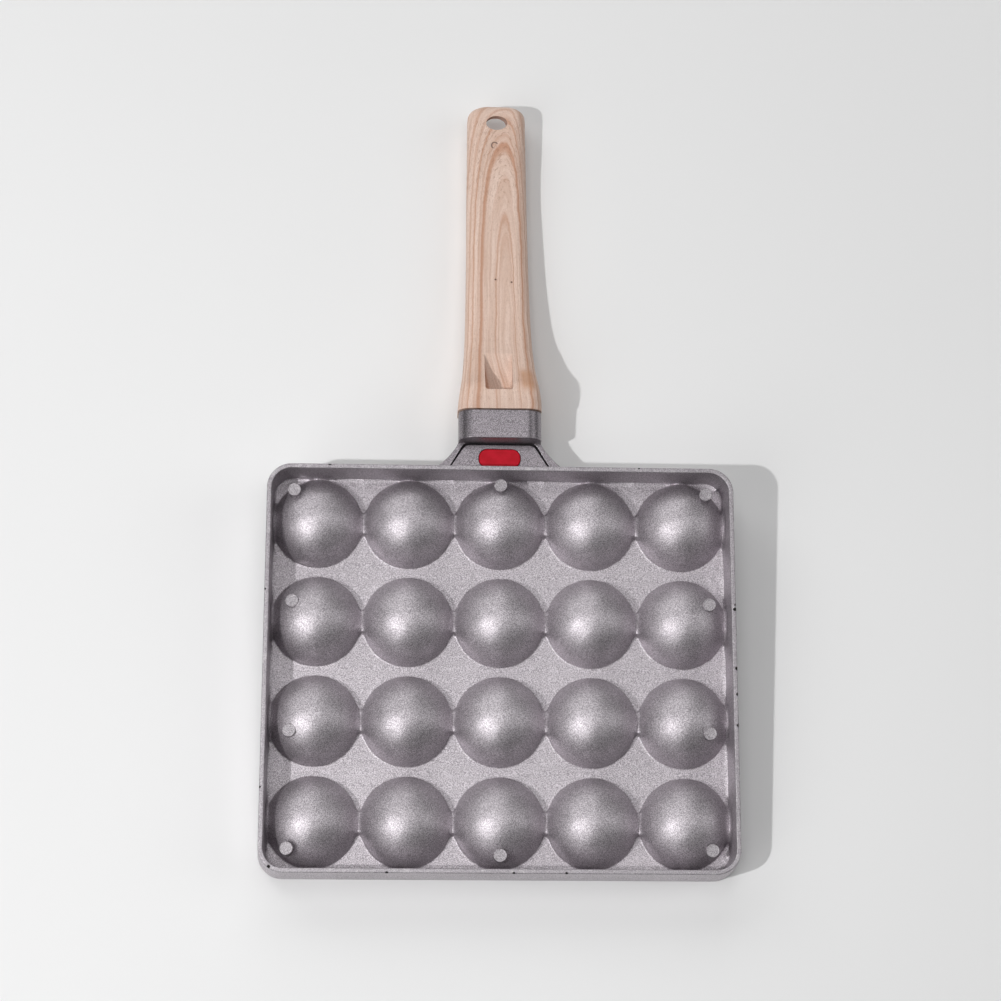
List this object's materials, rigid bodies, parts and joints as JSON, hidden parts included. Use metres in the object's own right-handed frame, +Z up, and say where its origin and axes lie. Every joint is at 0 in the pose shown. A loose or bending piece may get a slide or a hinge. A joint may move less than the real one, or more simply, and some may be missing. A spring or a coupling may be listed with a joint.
{
  "type": "takoyaki maker",
  "caption": "Cast takoyaki pan with a grid of ball cups, grey sparkle coating and a curved wooden handle, lying with its underside up.",
  "frame": {"origin": "middle of the outline in plan, on the surface that the pan lies on", "axes": "+Z up from the surface, with the pan's underside up; +Y along the handle, away from the pan; +X to the right"},
  "size_m": [0.2416, 0.4256, 0.0412],
  "materials": {
    "grey_coating": "satin grey coating with fine metallic sparkle",
    "guard_coating": "satin dark grey coating",
    "red_silicone": "matte",
    "pale_wood": "smooth, lightly sealed",
    "steel": "zinc plated"
  },
  "bodies": {
    "root": {"pan_body": "grey_coating", "flame_guard": "guard_coating", "screw_plug": "red_silicone", "neck_screw_left": "steel", "neck_screw_right": "steel", "handle": "pale_wood", "handle_bolt": "steel", "flat_washer": "steel", "spring_washer": "steel"}
  },
  "joints": []
}
